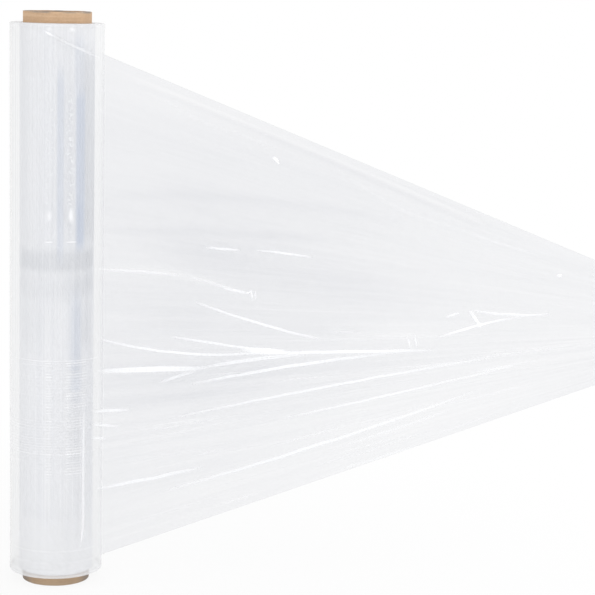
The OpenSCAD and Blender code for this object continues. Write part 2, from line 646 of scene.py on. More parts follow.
@dataclass(frozen=True)
class ClearTurnsFinish:
    """The outer turns: clear enough to see into, with painted white glints on rings and
    ridges.
    """

    tint: Colour = (0.905, 0.91, 0.92)
    # Colour of the painted glints.
    white: Colour = (0.98, 0.985, 1.0)
    opacity: float = 0.30
    roughness: float = 0.42
    end_depth: float = 0.004
    end_opacity: float = 0.28
    line_from: float = 0.04
    line_to: float = 0.10
    fold_turn: float = 35.6
    fold_half: tuple[float, float] = (0.9, 2.1)
    fold_top: float = 0.170
    fold_bend: float = 0.068
    fold_foot: float = 0.036
    fold_sway: float = 6.5
    fold_strength: float = 0.85

    def fold_glint(self, s: Shade, turn: Socket, height: Socket) -> Socket:
        """Finds the painted glint on the one sharp crease that runs down the lower part of
        the side.

        Args:
            s: The material's helper.
            turn: The angle from the roll's front, in degrees.
            height: The height of the shaded point.

        Returns:
            How strongly the glint is painted.
        """
        bend = s.rerange(height, self.fold_bend, 0.030, smooth=False)
        sway = s.times(bend, bend, self.fold_sway)
        middle = s.math("SUBTRACT", self.fold_turn, sway)
        off = s.math("ABSOLUTE", s.math("SUBTRACT", turn, middle))
        line = s.rerange(off, *self.fold_half, 1.0, 0.0)
        top = s.rerange(height, self.fold_top - 0.025, self.fold_top, 1.0, 0.0)
        foot = s.rerange(height, self.fold_foot, self.fold_foot + 0.014)
        return s.times(line, top, foot, self.fold_strength)

    def cover(self, s: Shade, place: bpy.types.bpy_prop_collection,
              glint: Socket) -> Socket:
        """Works out how much the outer turns hide of what lies in them.

        Args:
            s: The material's helper.
            place: The unrolled point: its turn, its height and both.
            glint: How strongly the film glints there.

        Returns:
            The opacity.
        """
        height = place["Height"]
        lines = s.noise(s.stretch(place["Flat"], (16.0, 0.7, 1.0)))
        lined = s.rerange(height, self.line_from, self.line_to)
        uneven = s.times(s.rerange(lines, 0.40, 0.68, -0.03, 0.07), lined)
        clear = s.math("ADD", uneven, self.opacity)
        low = s.rerange(height, Roll.foot, Roll.foot + self.end_depth, 1.0, 0.0)
        ends = s.math("MAXIMUM", low, s.rerange(height, Roll.top - self.end_depth, Roll.top))
        clear = s.times(clear, s.math("SUBTRACT", 1.0, ends))
        opacity = s.math("MULTIPLY_ADD", ends, self.end_opacity + self.opacity, clear)
        lit = s.math("MULTIPLY_ADD", glint, 1 - self.opacity, self.opacity)
        return s.math("MAXIMUM", opacity, lit, clamp=True)

    def material(self) -> bpy.types.Material:
        """Builds the outer turns' material.

        Returns:
            The material.
        """
        material, s = new_material("outer_turns")
        at = s.object_point()
        place = s.group(unrolled(), Point=at).outputs
        blotch = s.noise(s.stretch(place["Flat"], (6.0, 12.0, 1.0)), detail=0.0)
        # Painted glints: small dots in the lit columns.
        dots = s.noise(s.stretch(at, (1.0, 1.0, 0.9)), 410.0)
        glint_specks = s.times(s.rerange(dots, 0.50, 0.70), s.layer(GLINT_SPECK_LAYER))
        # Painted glint along a crease of the lower side.
        fold_glint = self.fold_glint(s, place["Turn"], place["Height"])
        glint = s.math("MAXIMUM", s.layer(GLINT_LAYER), s.math("MAXIMUM", glint_specks, fold_glint))
        # Painted glints: white, metallic and less clear where the masks are set.
        s.surface(Base_Color=s.blend(glint, self.tint, self.white),
                  Metallic=s.times(glint, 0.8),
                  Roughness=self.roughness, Alpha=self.cover(s, place, glint),
                  Coat_Weight=0.12, Coat_Roughness=0.12,
                  Normal=s.bump(blotch, strength=0.08, distance=0.0005))
        return material


@dataclass(frozen=True)
class WebFinish:
    """Drawn film: almost clear and faintly streaked along its pull."""

    tint: Colour = (0.59, 0.605, 0.66)
    opacity: float = 0.195
    roughness: float = 0.25
    fade_from: float = 0.073
    fade_to: float = 0.086

    def material(self) -> bpy.types.Material:
        """Builds the web's material.

        Returns:
            The material.
        """
        material, s = new_material("drawn_film")
        u, v = s.split(s.uv_point())[:2]
        along = s.join(u, v, 0.0)
        broad = s.noise(s.stretch(along, (2.2, 9.0, 1.0)), detail=3.0, rough=0.55)
        fine = s.noise(s.stretch(along, (3.0, 110.0, 1.0)), detail=3.0, rough=0.6)
        opacity = s.rerange(broad, 0.3, 0.7, self.opacity * 0.91, self.opacity * 1.10)
        opacity = s.math("ADD", opacity, s.rerange(fine, 0.3, 0.7, -0.006, 0.006))
        pull = s.noise(s.stretch(along, (1.4, 40.0, 1.0), (5.0, 0.0, 0.0)))
        lower = s.rerange(v, 0.25, 0.60, 1.0, 0.15)
        pulled = s.times(s.rerange(pull, 0.3, 0.7, -0.022, 0.022), lower)
        opacity = s.math("ADD", opacity, pulled)
        off_roll = s.rerange(u, self.fade_from, self.fade_to, 0.05, 1.0)
        start = s.rerange(u, -0.02, 0.01)
        opacity = s.times(opacity, s.layer(DENSE_LAYER), off_roll, start, clamp=True)
        s.surface(Base_Color=self.tint, Roughness=self.roughness,
                  Alpha=opacity, Coat_Weight=0.2, Coat_Roughness=0.15,
                  Normal=s.bump(fine, strength=0.08, distance=0.0003))
        return material


@dataclass(frozen=True)
class PleatFinish:
    """Film folded on itself, with a painted white, mirror-like glint along its crease."""

    white: Colour = (0.97, 0.98, 1.0)
    roughness: float = 0.3

    def material(self) -> bpy.types.Material:
        """Builds the pleats' material.

        Returns:
            The material.
        """
        material, s = new_material("pleated_film")
        u = s.split(s.uv_point())[0]
        grain = s.noise(s.join(s.times(u, 420.0), 0.0, 0.0), rough=0.6)
        outside = s.math("SUBTRACT", 1.0,
                         s.add("ShaderNodeNewGeometry").outputs["Backfacing"])
        grained = s.rerange(grain, 0.3, 0.6, 0.88, 1.05)
        opacity = s.times(s.layer(PLEAT_GLINT_LAYER), grained, clamp=True)
        opacity = s.times(opacity, outside)
        # Painted glint: white metal, shown only on the outer faces.
        s.surface(Base_Color=self.white, Metallic=0.85, Roughness=self.roughness,
                  Alpha=opacity)
        return material


# Sub-assemblies


@dataclass(frozen=True)
class Run:
    """A line on the web's plane, drawn through three places.

    Places are (x, z) in millimetres from the core's axis and the winding's
    lower face, with the middle one halfway along x.
    """

    start: tuple[float, float]
    middle: float
    end: tuple[float, float]

    def height(self, t: float) -> float:
        """Height of the line at a share of its length."""
        a, m, b = self.start[1], self.middle, self.end[1]
        return a + (-3 * a + 4 * m - b) * t + (2 * a - 4 * m + 2 * b) * t * t

    def normal(self, t: float) -> tuple[float, float]:
        """Finds the direction square to the line.

        Args:
            t: Share of its length, from 0 to 1.

        Returns:
            The direction's parts along x and z.
        """
        a, m, b = self.start[1], self.middle, self.end[1]
        rise = (-3 * a + 4 * m - b) + 2 * (2 * a - 4 * m + 2 * b) * t
        run = self.end[0] - self.start[0]
        size = math.hypot(rise, run)
        return -rise / size, run / size

    def full(self, t: float) -> float:
        """How full the line is: 0 at both ends and 1 in the middle."""
        return max(4 * t * (1 - t), 0.0) ** 0.5

    def near(self, x: float, z: float, half_width: float) -> float:
        """Works out how near a place lies to the line.

        Args:
            x: Distance from the core's axis, in millimetres.
            z: Height above the winding's lower face, in millimetres.
            half_width: How far from the line the nearness falls to a third.

        Returns:
            From 0, far away, to 1, on the middle of the line.
        """
        t = (x - self.start[0]) / (self.end[0] - self.start[0])
        if not 0 < t < 1:
            return 0.0
        off = (z - self.height(t)) / half_width
        return self.full(t) * math.exp(-off * off)


@dataclass(frozen=True)
class Streak(Run):
    """A soft streak where the web is denser or, below 0, clearer."""

    half_width: float = 4.0
    strength: float = 0.25

    def at(self, x: float, z: float) -> float:
        """The streak's strength at a place, given in millimetres."""
        return self.strength * self.near(x, z, self.half_width)


@dataclass(frozen=True)
class Haze:
    """A soft cloud where the web is denser or, below 0, clearer.

    Its middle and half sizes are shares of the web's reach and of its width.
    """

    along: float
    across: float
    half_along: float
    half_across: float
    strength: float

    def at(self, u: float, v: float) -> float:
        """Finds the cloud's strength at a place.

        Args:
            u: Share of the web's reach.
            v: Share of its width.

        Returns:
            The strength.
        """
        du = (u - self.along) / self.half_along
        dv = (v - self.across) / self.half_across
        return self.strength * math.exp(-du * du - dv * dv)


@dataclass(frozen=True)
class Pleat(Run):
    """A pleat of the web, where the film is folded on itself."""

    width: float = 1.2
    lift: float = 0.5
    glint: float = 0.8
    wander: float = 0.6
    flank: float = 4.0
    lift_share: float = 0.7

    def place(self, t: float) -> tuple[float, float]:
        """Finds where the pleat runs, with a little wander.

        Args:
            t: Share of its length, from 0 to 1.

        Returns:
            The place's x and z, in millimetres.
        """
        x = between(self.start[0], self.end[0], t)
        wander = noise.noise(Vector((x * 0.06, self.start[1], self.width)))
        return x, self.height(t) + wander * self.wander * self.full(t)

    def lift_at(self, x: float, z: float) -> float:
        """How far the pleat lifts the web at a place, all in millimetres."""
        return self.lift * self.lift_share * self.near(x, z, self.flank + self.width)


class Roll:
    """Sizes that the pieces share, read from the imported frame."""

    foot: float = 0.0
    top: float = 0.0
    film_r: float = 0.0
    core_r: float = 0.0
    core_top: float = 0.0
    bore_r: float = 0.0
    reach: float = 0.0

    @classmethod
    def read(cls, frame: dict) -> None:
        """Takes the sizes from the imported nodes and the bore's mount.

        Args:
            frame: The loaded frame.
        """
        film_lo, film_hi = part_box("film")
        core_lo, core_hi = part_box("core_tube")
        bore = next(m for m in frame["record"]["mounts"] if m["name"] == "core_bore")
        cls.foot, cls.top = film_lo[2], film_hi[2]
        cls.film_r = -film_lo[0]
        cls.reach = film_hi[0]
        cls.core_r = core_hi[0]
        cls.core_top = core_hi[2]
        cls.bore_r = bore["dims"]["r_mm"] * MM


@dataclass
class Core:
    """The paperboard core, which stands out of the film at both ends."""

    finish: BoardFinish = BoardFinish()
    bevel: float = 0.0005
    bevel_bow: float = 0.3
    steps: int = 144
    near_ends: tuple[float, ...] = (0.001, 0.002, 0.004, 0.008)
    lengths: int = 12
    plies: int = 6
    rim_wear: float = 0.00025
    wear_depth: float = 0.003

    def worn(self, point: Vector) -> Vector:
        """Roughens the cut ends a little, where the board has been knocked.

        Args:
            point: A vertex of the core.

        Returns:
            Where it goes.
        """
        near = min(point.z, Roll.core_top - point.z)
        share = 1 - eased(near / self.wear_depth)
        wave = noise.noise(Vector((point.x, point.y, point.z * 0.2)) * 90.0)
        shift = self.rim_wear * share * wave
        inward = 1.0 if point.z < Roll.core_top / 2 else -1.0
        return point + Vector((0.0, 0.0, abs(shift) * inward))

    def build(self) -> bpy.types.Object:
        """Models the core and puts it in place of its node.

        Returns:
            The core.
        """
        top, b, bow = Roll.core_top, self.bevel, self.bevel * self.bevel_bow
        rungs = [*self.near_ends]
        rungs += [top * i / self.lengths for i in range(1, self.lengths)]
        rungs += [top - near for near in self.near_ends[::-1]]
        outer = [(Roll.core_r - b, 0.0), (Roll.core_r - bow, bow)]
        outer += [(Roll.core_r, z) for z in (b, *rungs, top - b)]
        outer += [(Roll.core_r - bow, top - bow), (Roll.core_r - b, top)]
        inner = [(Roll.bore_r, z) for z in (top, *rungs[::-1], 0.0)]
        wall = Roll.core_r - Roll.bore_r
        cuts = [Roll.bore_r + wall * i / self.plies for i in range(1, self.plies)]
        outline = outer + [(r, top) for r in cuts[::-1]] + inner + [(r, 0.0) for r in cuts]
        piece = spun("paperboard_core", outline, self.steps, self.worn)
        dress(piece, self.finish.material(), Slot.BOARD)
        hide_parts("core_tube")
        return piece


@dataclass(frozen=True)
class Patch:
    """A soft patch on the side of the winding.

    Angles are in degrees from the front towards +X, heights in millimetres
    above the winding's lower face.
    """

    turn: float
    half_turn: float
    low: float
    high: float
    strength: float
    soft: float = 12.0
    edge: float = 0.7

    def at(self, turn: float, height: float) -> float:
        """Finds the patch's strength at a place.

        Args:
            turn: Angle from the front, in degrees.
            height: Height above the winding's lower face, in millimetres.

        Returns:
            The strength.
        """
        across = eased((1 - abs(turn - self.turn) / self.half_turn) / self.edge)
        along = min(eased((height - self.low) / self.soft),
                    eased((self.high - height) / self.soft))
        return self.strength * across * along


@dataclass
class Winding:
    """The wound turns: a dense, milky body inside a few clear outer turns."""

    dense: DenseFilmFinish = DenseFilmFinish()
    clear: ClearTurnsFinish = ClearTurnsFinish()
    clear_depth: float = 0.0090
    overlap: float = 0.001
    skin: float = 0.002
    shoulder: float = 0.0012
    dense_corner: float = 0.0004
    arc_steps: int = 5
    steps: int = 200
    dense_step: float = 0.006
    clear_step: float = 0.004
    end_margin: float = 0.001
    ridge_low: float = 0.078
    ridge_high: float = 0.206
    ridge_pitch: float = 0.00255
    ring_step: float = 0.00046
    ridge_height: float = 0.00003
    shine: float = 0.50
    hoop_shine: float = 0.16
    hoop_from: float = 0.75
    side_inset: float = 0.0002
    side_swell: float = 0.00018
    side_wave: float = 0.00022
    turn_pitch: float = 0.0011
    end_relief: float = 0.00022
    end_inset: float = 0.00025

    def dark_reflection_bands(self) -> list[Patch]:
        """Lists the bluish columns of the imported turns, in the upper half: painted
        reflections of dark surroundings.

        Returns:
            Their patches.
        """
        return [
            Patch(4.9, 7.0, 282, 470, 0.34, 24, 0.6),
            Patch(38.5, 11.5, 296, 445, 0.60, 10, 0.6),
            Patch(38.5, 10.0, 296, 350, 0.74, 10, 0.6),
            Patch(36.0, 13.0, 430, 498, 0.20, 16, 0.6),
            Patch(31.5, 13.0, 150, 274, 0.30, 30, 0.6),
        ]

    def shade_and_reflection_bands(self) -> list[Patch]:
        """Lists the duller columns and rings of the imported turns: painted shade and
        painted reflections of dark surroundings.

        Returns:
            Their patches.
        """
        return [
            Patch(0.0, 95.0, 262, 494, 0.15, 22, 0.4),
            Patch(0.0, 95.0, 276, 302, 0.72, 8, 0.4),
            Patch(48.0, 44.0, 276, 302, 0.84, 6, 0.6),
            Patch(48.0, 40.0, 254, 280, 0.66, 8, 0.6),
            Patch(-10.0, 80.0, 248, 282, 0.30, 12, 0.4),
            Patch(-34.0, 44.0, 196, 268, 0.20, 30, 0.6),
            Patch(6.0, 15.0, 296, 480, 0.34, 40),
            Patch(-8.0, 9.0, 296, 470, 0.24, 40),
            Patch(21.0, 12.0, 296, 470, 0.34, 30, 0.8),
            Patch(60.0, 36.0, 296, 486, 0.62, 20, 0.6),
            Patch(48.0, 24.0, 292, 360, 0.74, 30, 0.7),
            Patch(44.0, 27.0, 200, 264, 0.46, 24, 0.6),
            Patch(33.0, 15.0, 130, 240, 0.41, 40, 0.7),
            Patch(30.0, 12.0, 90, 170, 0.30, 30, 0.6),
            Patch(-20.0, 60.0, 51, 64, 0.13, 5, 0.5),
            Patch(0.0, 95.0, 35, 45, 0.12, 4, 0.4),
            Patch(0.0, 95.0, 8, 20, 0.10, 5, 0.4),
        ]

    def highlight_bands(self) -> list[Patch]:
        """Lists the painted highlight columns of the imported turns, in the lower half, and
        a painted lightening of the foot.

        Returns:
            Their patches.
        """
        return [Patch(-13.8, 7.0, 40, 262, 0.40, 30, 0.9),
                Patch(16.5, 7.0, 40, 216, 0.36, 30, 0.9),
                Patch(0.0, 95.0, -6, 62, 0.28, 16, 0.3)]

    def lit(self) -> list[Patch]:
        """Lists the columns in which the lamps' highlights are painted on the outer turn.

        Returns:
            Their patches.
        """
        return [Patch(-9.0, 5.5, -10, 510, 0.6, 4), Patch(15.0, 5.5, -10, 510, 1.0, 4),
                Patch(29.0, 14.0, -10, 510, 0.75, 4, 0.6),
                Patch(-20.0, 70.0, 104, 150, 0.30, 10, 0.5)]

    def rings(self) -> list[Patch]:
        """Lists the single rings where a glint is painted on the outer turn.

        Returns:
            Their patches.
        """
        return [
            Patch(-9.5, 6.0, 307.6, 309.4, 0.50, 0.8),
            Patch(17.5, 8.0, 307.6, 309.4, 0.62, 0.8),
            Patch(-9.0, 4.6, 324.0, 339.0, 0.42, 7.0, 1.0),
            Patch(17.0, 5.2, 322.0, 342.0, 0.60, 9.0, 1.0),
            Patch(4.0, 74.0, 200.6, 202.0, 0.36, 0.7),
            Patch(-24.0, 30.0, 196.8, 198.0, 0.20, 0.6),
            Patch(22.0, 40.0, 176.2, 177.4, 0.22, 0.6),
            Patch(0.0, 80.0, 24.0, 27.0, 0.07, 1.6),
            Patch(0.0, 85.0, 12.5, 17.0, 0.06, 2.4),
            Patch(0.0, 85.0, 3.0, 9.0, 0.10, 2.6),
            Patch(-9.5, 5.0, 491.5, 499.0, 0.22, 3.5, 1.0),
            Patch(17.5, 6.0, 491.5, 499.0, 0.30, 3.5, 1.0),
        ]

    def rungs(self, rings: Sequence[Patch], step: float) -> list[float]:
        """Heights of the rings on a side, close together where it is marked.

        Args:
            rings: Marks whose edges have to show.
            step: Distance between rings where nothing is marked.

        Returns:
            The heights, from the foot up.
        """
        heights, z = [], Roll.foot + self.shoulder
        zones = [(Roll.foot + (r.low - 1) * MM, Roll.foot + (r.high + 1) * MM,
                  self.ring_step) for r in rings]
        zones.append((Roll.foot + self.ridge_low, Roll.foot + self.ridge_high,
                      self.ridge_pitch / 4))
        while z < Roll.top - self.shoulder - self.end_margin:
            heights.append(z)
            steps = [fine for low, high, fine in zones if low <= z < high]
            if steps:
                z += min(steps)
            else:
                z = min([z + step] + [low for low, _, _ in zones if low > z])
        return heights[1:]

    def ridged(self, z: float) -> float:
        """How strongly the outer turn is ridged at a height."""
        h = z - Roll.foot
        return eased((h - self.ridge_low) / 0.03) * eased((self.ridge_high - h) / 0.01)

    def crest(self, z: float) -> float:
        """Where a height lies between the hollow, at -1, and crest, at 1, of a ridge."""
        drift = noise.noise(Vector((5.0, 2.0, z * 60.0))) * 2.2
        return math.sin(math.tau * z / self.ridge_pitch + drift)

    def share(self, z: float) -> float:
        """How strongly the ridge at a height shows, from 0 to about 1."""
        return max(0.55 + 1.5 * noise.noise(Vector((7.0, 1.0, z * 170.0))), 0.0)

    def side_r(self, z: float) -> float:
        """Works out the radius of the outer turn.

        Args:
            z: The height.

        Returns:
            The radius.
        """
        ripple = self.crest(z) * self.ridge_height * self.ridged(z)
        swell = noise.noise(Vector((0.3, 0.7, z * 14.0))) * self.side_swell
        return Roll.film_r - self.side_inset + swell + ripple

    def on_side(self, point: Vector) -> bool:
        """Whether a point lies on the side of the outer turns."""
        return math.hypot(point.x, point.y) >= Roll.film_r - self.skin

    def mark(self, patches: Sequence[Patch]) -> Mask:
        """Makes the mask that joins some patches.

        Args:
            patches: The patches.

        Returns:
            The mask.
        """
        def strength(point: Vector) -> float:
            """The strongest patch at a point."""
            turn = math.degrees(math.atan2(point.x, -point.y))
            height = (point.z - Roll.foot) / MM
            return max(patch.at(turn, height) for patch in patches)
        return strength

    def glint(self) -> Mask:
        """Makes the mask of the painted glints on the outer turn's rings and ridges.

        Returns:
            The mask.
        """
        ringed, lit = self.mark(self.rings()), self.mark(self.lit())

        def strength(point: Vector) -> float:
            """How strongly a glint is painted at a point: on a ring, or on the crest of a
            ridge.
            """
            rings, ridge = ringed(point), self.ridged(point.z)
            if ridge <= 0 or not self.on_side(point):
                return rings
            wear = noise.noise(Vector((point.x * 24, point.y * 24, point.z * 260.0)))
            rise = eased((self.crest(point.z) + 0.2) / 1.2) * ridge
            own = self.share(point.z)
            column = self.shine * lit(point) * (1 + 1.2 * wear) * own
            hoop = self.hoop_shine * max(own - self.hoop_from, 0)
            return max(rings, rise * (column + hoop))
        return strength

    def painted_highlights(self) -> Mask:
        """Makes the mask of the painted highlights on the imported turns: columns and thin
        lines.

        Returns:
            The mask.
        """
        bands = self.mark(self.highlight_bands())
        lined = self.mark([Patch(32.0, 28.0, 60, 220, 1.0, 12, 0.6),
                           Patch(0.0, 85.0, 60, 220, 0.24, 12, 0.4)])

        def strength(point: Vector) -> float:
            """How strongly a highlight is painted at a point: in a column, or on a line
            under a ridge.
            """
            wear = noise.noise(Vector((point.x * 24, point.y * 24, point.z * 80.0)))
            rise = eased((self.crest(point.z) + 0.1) / 1.0) * self.ridged(point.z)
            own = min(max(self.share(point.z) + 0.6 * wear, 0.0), 1.0)
            line = rise * lined(point) * own
            return max(bands(point), line)
        return strength

    def glint_speck(self) -> Mask:
        """Makes the mask of the places where small glints are painted as dots."""
        return self.mark([Patch(16.0, 9.0, 296, 462, 0.26, 50, 1.0),
                          Patch(-8.5, 9.0, 300, 475, 0.14, 60, 1.0)])

    def uneven(self, point: Vector) -> Vector:
        """Moves a point of the outer turns in or out a little.

        Args:
            point: A vertex of the outer turns.

        Returns:
            Where it goes.
        """
        if not self.on_side(point):
            return point
        wave = noise.noise(Vector((point.x * 26.0, point.y * 26.0, point.z * 5.0)))
        share = 1 + wave * self.side_wave / math.hypot(point.x, point.y)
        return Vector((point.x * share, point.y * share, point.z))

    def end_rings(self, inner: float, outer: float, z: float,
                  up: float) -> list[tuple[float, float]]:
        """Draws the line across an end face, with a low ridge at each group of turns.

        Args:
            inner: Radius where the face starts.
            outer: Radius where it ends.
            z: Its height.
            up: 1 for the upper face, -1 for the lower one.

        Returns:
            Radius and height of each point, from the bore out.
        """
        count = max(int((outer - inner) / self.turn_pitch), 2)
        points = []
        for i in range(1, count):
            rise = self.end_relief * noise.noise(Vector((i * 0.83, z * 40.0, 0.0)))
            points.append((between(inner, outer, i / count),
                           z + up * (rise - self.end_inset)))
        return points

    def shoulder_arc(self, r: float, z: float, corner: float,
                     up: float) -> list[tuple[float, float]]:
        """Rounds the shoulder between an end face and the side.

        Args:
            r: Radius of the side.
            z: Height of the end face.
            corner: Radius of the shoulder.
            up: 1 for the upper face, -1 for the lower one.

        Returns:
            Radius and height of each point, from the end face to the side.
        """
        turns = [math.pi / 2 * i / self.arc_steps for i in range(self.arc_steps + 1)]
        return [(r - corner * (1 - math.sin(a)), z - up * corner * (1 - math.cos(a)))
                for a in turns]

    def ring(self, name: str, inner: float, side: Callable[[float], float],
             heights: Sequence[float], inset: float, corner: float,
             shape: Shaper | None, marks: Marks) -> bpy.types.Object:
        """Models one closed ring of turns.

        Args:
            name: The piece's name.
            inner: Radius of its bore.
            side: Gives its outer radius at a height.
            heights: Where its side has rings, from the foot up.
            inset: How far its end faces lie below the winding's own.
            corner: Radius of its rounded shoulders.
            shape: Moves each finished vertex, if it is given.
            marks: Masks for the vertices, by the name of their layer.

        Returns:
            The ring as an object.
        """
        low, high = Roll.foot + inset, Roll.top - inset
        low_r, high_r = side(low), side(high)
        outline = [(inner, low)]
        outline += self.end_rings(inner, low_r - corner, low, -1.0)
        outline += self.shoulder_arc(low_r, low, corner, -1.0)
        outline += [(side(z), z) for z in heights]
        outline += self.shoulder_arc(high_r, high, corner, 1.0)[::-1]
        outline += self.end_rings(inner, high_r - corner, high, 1.0)[::-1]
        outline.append((inner, high))
        return spun(name, outline, self.steps, shape, marks)

    def build(self) -> list[bpy.types.Object]:
        """Models the winding and puts it in place of the film's node.

        Returns:
            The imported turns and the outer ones.
        """
        dense_r = Roll.film_r - self.clear_depth
        # The imported turns carry painted shade, painted reflections of dark surroundings
        # and painted highlights.
        body = self.ring("packed_turns", Roll.core_r, lambda z: dense_r,
                         self.rungs([], self.dense_step), self.dense_corner,
                         self.dense_corner, None,
                         {SHADE_LAYER: self.mark(self.shade_and_reflection_bands()),
                          DARK_REFLECTION_LAYER: self.mark(self.dark_reflection_bands()),
                          GLINT_LAYER: self.painted_highlights()})
        # The outer turns carry painted glints on rings, ridges and small dots.
        outer = self.ring("outer_turns", dense_r - self.overlap, self.side_r,
                          self.rungs(self.rings(), self.clear_step), 0.0, self.shoulder,
                          self.uneven,
                          {GLINT_LAYER: self.glint(), GLINT_SPECK_LAYER: self.glint_speck()})
        dress(body, self.dense.material(), Slot.FILM)
        dress(outer, self.clear.material(), Slot.FILM)
        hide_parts("film")
        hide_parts("film")
        return [body, outer]


@dataclass
class Web:
    """The web: the outer turn, drawn off towards +X and gathered."""

    finish: WebFinish = WebFinish()
    pleat_finish: PleatFinish = PleatFinish()
    top_drop: float = 0.013
    foot_rise: float = 0.0055
    end_width: float = 0.110
    end_middle: float = 0.235
    lap_angle: float = math.radians(12.0)
    proud: float = 0.00015
    thickness: float = 0.0002
    lap_share: float = 0.04
    columns: int = 150
    rows: int = 180
    crowding: float = 0.055
    crowd_shift: float = 0.02
    wave_mm: float = 1.4
    gather_mm: float = 0.6
    start_wave_mm: float = 0.4
    drawn_out: float = 1.5
    pleat_steps: int = 56
    pleat_depth: float = 0.00026
    pleat_spread: float = 1.3
    pleat_section: tuple[tuple[float, float], ...] = (
        (-1.0, -0.67), (-1.0, 0.67), (-0.6, 1.0), (0.6, 1.0),
        (1.0, 0.67), (1.0, -0.67), (0.6, -1.0), (-0.6, -1.0))
    fine_pleats: int = 48
    fine_start_mm: tuple[float, float] = (34.0, 380.0)
    fine_length_mm: tuple[float, float] = (30.0, 130.0)
    fine_end_mm: float = 494.0
    lifting_mm: float = 0.2
    seed: int = 11

    def pleats(self) -> list[Pleat]:
        """Adds the fine pleats, which are placed at random, to the main ones.

        Returns:
            All pleats.
        """
        pick = random.Random(self.seed)
        pleats = self.main_pleats()
        for _ in range(self.fine_pleats):
            x = pick.uniform(*self.fine_start_mm)
            length = min(pick.uniform(*self.fine_length_mm), self.fine_end_mm - x)
            share = min(max(pick.gauss(0.24, 0.14), 0.03), 0.55)
            drift = pick.uniform(-0.012, 0.012)
            ends = []
            for place, at in ((x, share), (x + length / 2, share + drift / 2),
                              (x + length, share + drift)):
                s = place * MM
                ends.append((between(self.low(s), self.top(s), at) - Roll.foot) / MM)
            pleats.append(Pleat((x, ends[0]), ends[1], (x + length, ends[2]),
                                pick.uniform(0.4, 0.7), 0.1, pick.uniform(0.08, 0.3)))
        return pleats

    def main_pleats(self) -> list[Pleat]:
        """Lists the pleats that show clearly.

        Returns:
            The main pleats.
        """
        return [
            Pleat((30.0, 224.5), 209.0, (191.0, 211.0), 1.1, 0.9, 0.9),
            Pleat((151.0, 208.5), 210.0, (347.5, 211.5), 1.3, 1.0, 1.0),
            Pleat((98.5, 224.5), 217.5, (191.0, 210.5), 1.0, 0.6, 0.8),
            Pleat((34.0, 192.5), 194.0, (137.0, 195.5), 2.4, 0.8, 1.0),
            Pleat((125.0, 194.5), 203.0, (226.5, 208.5), 1.6, 0.6, 0.8),
            Pleat((90.5, 181.0), 188.0, (127.0, 192.5), 1.2, 0.3, 0.6),
            Pleat((110.5, 178.5), 197.5, (317.0, 210.5), 1.4, 0.9, 0.9),
            Pleat((90.5, 146.5), 179.5, (413.0, 207.5), 1.1, 0.9, 0.7),
            Pleat((191.0, 146.0), 170.5, (413.0, 196.5), 1.0, 0.8, 0.6),
            Pleat((85.5, 78.5), 124.5, (392.5, 177.5), 1.3, 0.9, 0.8),
            Pleat((32.0, 83.0), 93.5, (135.5, 104.5), 1.4, 0.6, 0.8),
            Pleat((116.5, 258.5), 236.5, (241.5, 221.0), 1.0, 0.7, 0.8),
            Pleat((30.0, 285.0), 283.0, (117.0, 279.0), 1.0, 0.5, 0.45),
            Pleat((112.0, 279.5), 272.0, (167.5, 263.0), 1.0, 0.4, 0.35),
            Pleat((168.0, 263.5), 264.5, (174.5, 266.0), 0.8, 0.1, 0.8),
            Pleat((172.5, 267.0), 262.5, (175.0, 257.0), 0.7, 0.1, 0.7),
            Pleat((176.5, 266.0), 262.0, (177.5, 258.0), 0.6, 0.1, 0.5),
            Pleat((164.0, 212.5), 211.0, (210.0, 209.5), 2.3, 0.2, 1.0),
            Pleat((316.5, 224.0), 219.5, (319.5, 213.5), 0.7, 0.2, 0.5),
            Pleat((322.5, 226.5), 220.5, (326.0, 214.0), 0.7, 0.2, 0.5),
            Pleat((146.0, 269.0), 266.0, (171.0, 263.5), 1.1, 0.4, 0.7),
            Pleat((130.0, 305.5), 303.5, (164.0, 302.5), 0.9, 0.4, 0.8),
            Pleat((175.0, 303.0), 300.0, (230.5, 296.5), 0.9, 0.4, 0.8),
            Pleat((339.5, 221.5), 235.0, (427.0, 244.0), 1.0, 0.7, 0.7),
            Pleat((351.5, 242.0), 244.0, (364.5, 246.0), 1.0, 0.4, 0.8),
            Pleat((374.5, 248.5), 244.5, (451.5, 245.5), 1.0, 0.6, 0.8),
            Pleat((372.5, 248.5), 241.0, (384.5, 232.5), 1.2, 0.6, 0.9),
            Pleat((80.5, 442.5), 420.5, (160.0, 406.5), 0.8, 0.5, 0.10),
            Pleat((151.0, 410.5), 401.5, (193.5, 393.5), 0.8, 0.5, 0.12),
            Pleat((238.0, 384.5), 345.0, (358.5, 323.0), 0.8, 0.6, 0.09),
            Pleat((332.5, 334.0), 311.0, (458.5, 296.0), 0.8, 0.6, 0.09),
            Pleat((30.0, 155.0), 156.5, (67.5, 157.0), 1.2, 0.4, 0.7),
            Pleat((30.0, 144.0), 143.0, (56.5, 142.0), 1.1, 0.4, 0.6),
            Pleat((30.0, 132.0), 131.5, (45.0, 131.5), 1.1, 0.4, 0.6),
            Pleat((245.5, 118.5), 137.5, (364.5, 158.5), 1.0, 0.6, 0.35),
            Pleat((251.5, 99.5), 111.0, (334.0, 125.0), 1.0, 0.6, 0.35),
            Pleat((-13.5, 494.5), 481.5, (38.0, 470.5), 1.2, 0.3, 0.48),
            Pleat((189.5, 386.5), 384.0, (196.0, 380.0), 1.1, 0.4, 1.0),
            Pleat((452.0, 281.5), 281.0, (458.0, 280.5), 1.2, 0.3, 0.8),
        ]

